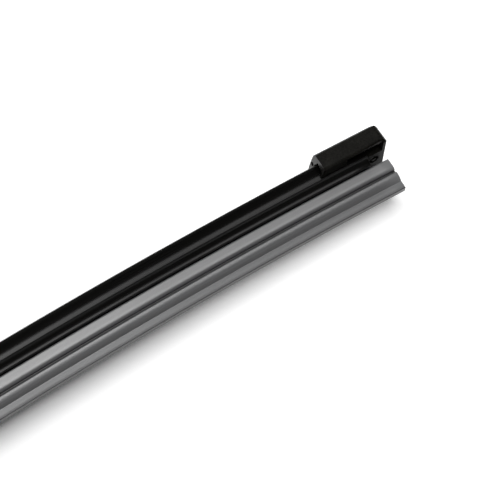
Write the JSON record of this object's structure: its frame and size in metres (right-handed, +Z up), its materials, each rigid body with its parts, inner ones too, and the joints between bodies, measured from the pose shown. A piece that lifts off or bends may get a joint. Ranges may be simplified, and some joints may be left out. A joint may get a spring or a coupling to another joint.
{
  "type": "wiper blade",
  "caption": "Flat bowed wiper blade lying on its side: grey rubber strip with a tapered lip, black fluted cover, moulded end caps and a plain connector with a pin bore.",
  "frame": {"origin": "middle of the bore for the arm's side pin, on the blade's middle plane", "axes": "+X along the blade, +Y from the wiping lip towards the cover, +Z up across the blade's width, along the pin bore; the blade lies on its side on the plane of its -Z faces"},
  "size_m": [0.3518, 0.0359, 0.0172],
  "materials": {
    "wiping_rubber": "graphite-coated satin rubber, mid grey",
    "spring_steel": "bright rolled spring steel",
    "cover_rubber": "smooth black extruded rubber with a soft sheen",
    "cap_plastic": "black moulded plastic with a fine matt texture",
    "bracket_steel": "black painted folded sheet steel",
    "connector_plastic": "black moulded plastic with a fine matt texture",
    "sleeve_steel": "plain drawn steel bush"
  },
  "bodies": {
    "root": {"rubber_strip": "wiping_rubber", "spring_rail_upper": "spring_steel", "spring_rail_lower": "spring_steel", "cover_right": "cover_rubber", "cover_left": "cover_rubber", "end_cap_right": "cap_plastic", "end_cap_left": "cap_plastic", "rail_bracket": "bracket_steel", "connector_body": "connector_plastic", "pin_sleeve": "sleeve_steel"}
  },
  "joints": []
}
